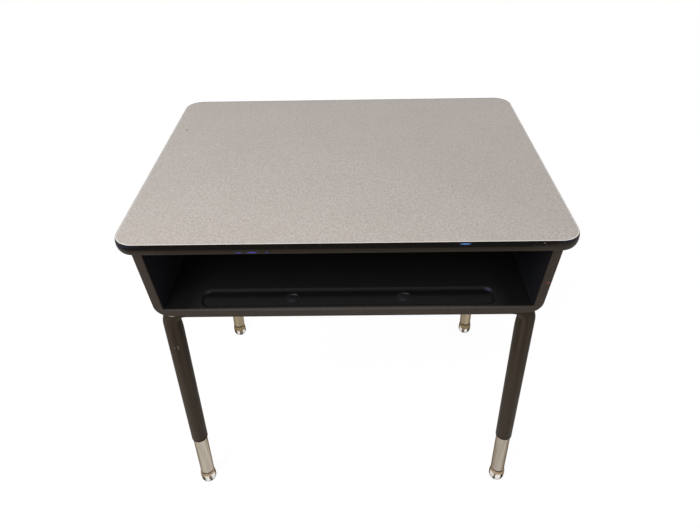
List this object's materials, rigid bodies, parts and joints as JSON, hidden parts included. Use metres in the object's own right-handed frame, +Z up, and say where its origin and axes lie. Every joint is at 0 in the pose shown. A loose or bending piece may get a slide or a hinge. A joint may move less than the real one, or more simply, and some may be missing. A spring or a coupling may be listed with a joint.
{
  "type": "open-front school desk",
  "caption": "Open-front school desk: laminate top with dark edge, pressed steel book box with pencil groove, bent tube legs with telescoping inserts and swivel glides.",
  "frame": {"origin": "on the floor under the centre of the top", "axes": "+Z up, +Y to the back, so the open front of the book box faces -Y, and +X to the sitter's right"},
  "size_m": [0.6096, 0.4572, 0.6032],
  "materials": {
    "laminate": "fine speckled grey-beige laminate, matt",
    "particle_board": "pressed particle board",
    "backer": "brown backing sheet",
    "edge_moulding": "black extruded moulding with a soft sheen",
    "box_enamel": "dark brown baked enamel",
    "frame_enamel": "dark brown-black baked enamel",
    "nickel_plate": "satin nickel plating",
    "chrome_plate": "bright nickel-chrome plating",
    "zinc_steel": "zinc plated",
    "dark_steel": "blackened bolt heads",
    "black_plug": "moulded nylon",
    "cushion": "moulded rubber"
  },
  "bodies": {
    "desk": {"top_laminate": "laminate", "top_core": "particle_board", "top_backer": "backer", "edge_band": "edge_moulding", "book_box": "box_enamel", "book_box_back": "box_enamel", "back_flange": "box_enamel", "top_screws": "zinc_steel", "frame_bolts": "dark_steel", "bolt_washers": "dark_steel", "rivet_nuts": "zinc_steel", "height_screws": "zinc_steel", "frame_stretcher_left": "frame_enamel", "frame_stretcher_right": "frame_enamel", "front_leg_frame": "frame_enamel", "rear_leg_frame": "frame_enamel"},
    "insert_front_left": {"leg_insert_front_left": "nickel_plate", "insert_plug_front_left": "black_plug", "glide_stem_front_left": "zinc_steel"},
    "glide_front_left": {"glide_base_front_left": "chrome_plate", "glide_cushion_front_left": "cushion"},
    "insert_front_right": {"leg_insert_front_right": "nickel_plate", "insert_plug_front_right": "black_plug", "glide_stem_front_right": "zinc_steel"},
    "glide_front_right": {"glide_base_front_right": "chrome_plate", "glide_cushion_front_right": "cushion"},
    "insert_rear_left": {"leg_insert_rear_left": "nickel_plate", "insert_plug_rear_left": "black_plug", "glide_stem_rear_left": "zinc_steel"},
    "glide_rear_left": {"glide_base_rear_left": "chrome_plate", "glide_cushion_rear_left": "cushion"},
    "insert_rear_right": {"leg_insert_rear_right": "nickel_plate", "insert_plug_rear_right": "black_plug", "glide_stem_rear_right": "zinc_steel"},
    "glide_rear_right": {"glide_base_rear_right": "chrome_plate", "glide_cushion_rear_right": "cushion"}
  },
  "joints": [
    {"name": "height_front_left", "type": "slide", "parent": "desk", "child": "insert_front_left", "axis": [-0.0436, -0.0192, -0.9989], "range_m": [-0.0508, 0.1524]},
    {"name": "swivel_front_left", "type": "hinge", "parent": "insert_front_left", "child": "glide_front_left", "pos_m": [-0.28596, -0.19905, 0.013], "axis": [0, 1, 0], "range_deg": [-10, 10]},
    {"name": "height_front_right", "type": "slide", "parent": "desk", "child": "insert_front_right", "axis": [0.0436, -0.0192, -0.9989], "range_m": [-0.0508, 0.1524]},
    {"name": "swivel_front_right", "type": "hinge", "parent": "insert_front_right", "child": "glide_front_right", "pos_m": [0.28596, -0.19905, 0.013], "axis": [0, 1, 0], "range_deg": [-10, 10]},
    {"name": "height_rear_left", "type": "slide", "parent": "desk", "child": "insert_rear_left", "axis": [-0.0436, 0.0192, -0.9989], "range_m": [-0.0508, 0.1524]},
    {"name": "swivel_rear_left", "type": "hinge", "parent": "insert_rear_left", "child": "glide_rear_left", "pos_m": [-0.28596, 0.19905, 0.013], "axis": [0, 1, 0], "range_deg": [-10, 10]},
    {"name": "height_rear_right", "type": "slide", "parent": "desk", "child": "insert_rear_right", "axis": [0.0436, 0.0192, -0.9989], "range_m": [-0.0508, 0.1524]},
    {"name": "swivel_rear_right", "type": "hinge", "parent": "insert_rear_right", "child": "glide_rear_right", "pos_m": [0.28596, 0.19905, 0.013], "axis": [0, 1, 0], "range_deg": [-10, 10]}
  ]
}
